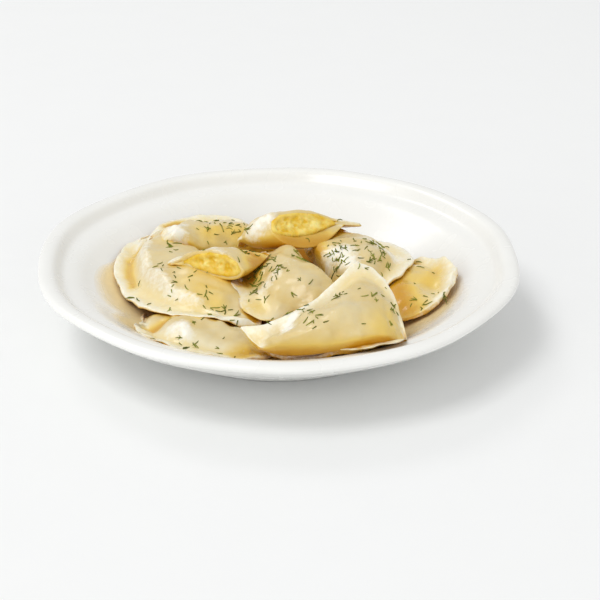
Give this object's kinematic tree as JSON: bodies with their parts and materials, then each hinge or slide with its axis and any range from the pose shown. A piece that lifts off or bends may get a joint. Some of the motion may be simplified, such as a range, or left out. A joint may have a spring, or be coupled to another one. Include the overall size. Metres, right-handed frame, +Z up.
{
  "type": "plate of pierogi",
  "caption": "Filled half-moon dumplings heaped in the well of a round deep plate, with cut ones showing their filling.",
  "frame": {"origin": "centre of the plate on the surface it stands on, at the bottom of its foot ring", "axes": "+Z up out of the well, -Y towards the side the plate is eaten from, where the largest dumpling leans on the wall of the well"},
  "size_m": [0.2392, 0.2391, 0.0528],
  "materials": {
    "glazed_white": "gloss",
    "boiled_dough": "satin",
    "potato_cheese": "matte"
  },
  "bodies": {
    "root": {"plate": "glazed_white", "pierog_front_left": "boiled_dough", "pierog_front_low": "boiled_dough", "pierog_back_left": "boiled_dough", "pierog_right": "boiled_dough", "pierog_back_right": "boiled_dough", "pierog_left": "boiled_dough", "pierog_middle": "boiled_dough", "pierog_front": "boiled_dough", "pierog_half_left": "boiled_dough", "pierog_half_top": "boiled_dough", "pierog_half_left_filling": "potato_cheese", "pierog_half_top_filling": "potato_cheese"}
  },
  "joints": []
}
